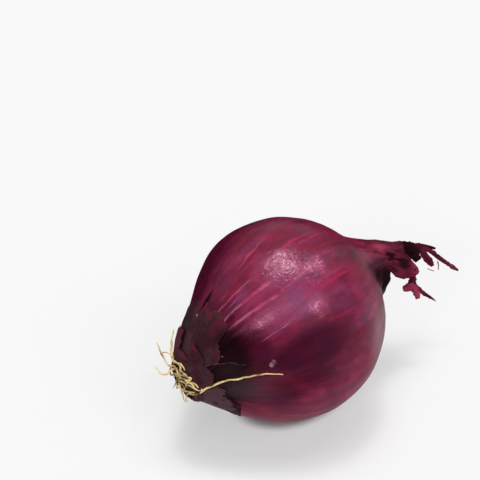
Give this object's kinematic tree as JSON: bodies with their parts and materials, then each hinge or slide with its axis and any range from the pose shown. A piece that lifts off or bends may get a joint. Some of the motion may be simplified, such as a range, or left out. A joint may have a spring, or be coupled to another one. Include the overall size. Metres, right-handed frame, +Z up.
{
  "type": "red onion",
  "caption": "Whole red onion lying on its side: round glossy bulb, dried root tuft on a basal plate, torn outer skin and a short neck of dry leaf ends.",
  "frame": {"origin": "middle of the small flat spot under the belly that the onion rests on", "axes": "+X along the onion from its root end towards its neck, +Z up from the surface it lies on, +Y to the left of +X"},
  "size_m": [0.1319, 0.0766, 0.0756],
  "materials": {
    "bulb_skin": "smooth dry onion skin, satin to glossy, with crimson and dark purple streaks from root to neck",
    "outer_skin": "dead outer skin, matt, brownish purple, torn at its edge",
    "neck_leaf": "dried leaf, thin and crinkled, maroon with straw-brown tips",
    "basal_plate": "corky, matt, brown",
    "root": "dried root, fibrous, straw yellow"
  },
  "bodies": {
    "root": {"bulb": "bulb_skin", "basal_plate": "basal_plate", "root_end_skin": "outer_skin", "scrap_front_flap": "outer_skin", "scrap_upper": "outer_skin", "scrap_back_curl": "outer_skin", "scrap_under": "outer_skin", "scrap_far_side": "outer_skin", "neck_leaf_roll": "neck_leaf", "neck_leaf_curl": "neck_leaf", "neck_leaf_upper": "neck_leaf", "neck_leaf_lower": "neck_leaf", "neck_leaf_inner": "neck_leaf", "root_long": "root", "root_up": "root", "root_curved": "root", "root_arch": "root", "root_low_left": "root", "root_short_front": "root", "root_short_low": "root", "root_under": "root", "root_far_side": "root", "root_far_low": "root", "root_matted_1": "root", "root_matted_2": "root", "root_matted_3": "root", "root_matted_4": "root", "root_matted_5": "root", "root_matted_6": "root", "root_matted_7": "root", "root_matted_8": "root", "root_matted_9": "root", "root_matted_10": "root"}
  },
  "joints": []
}
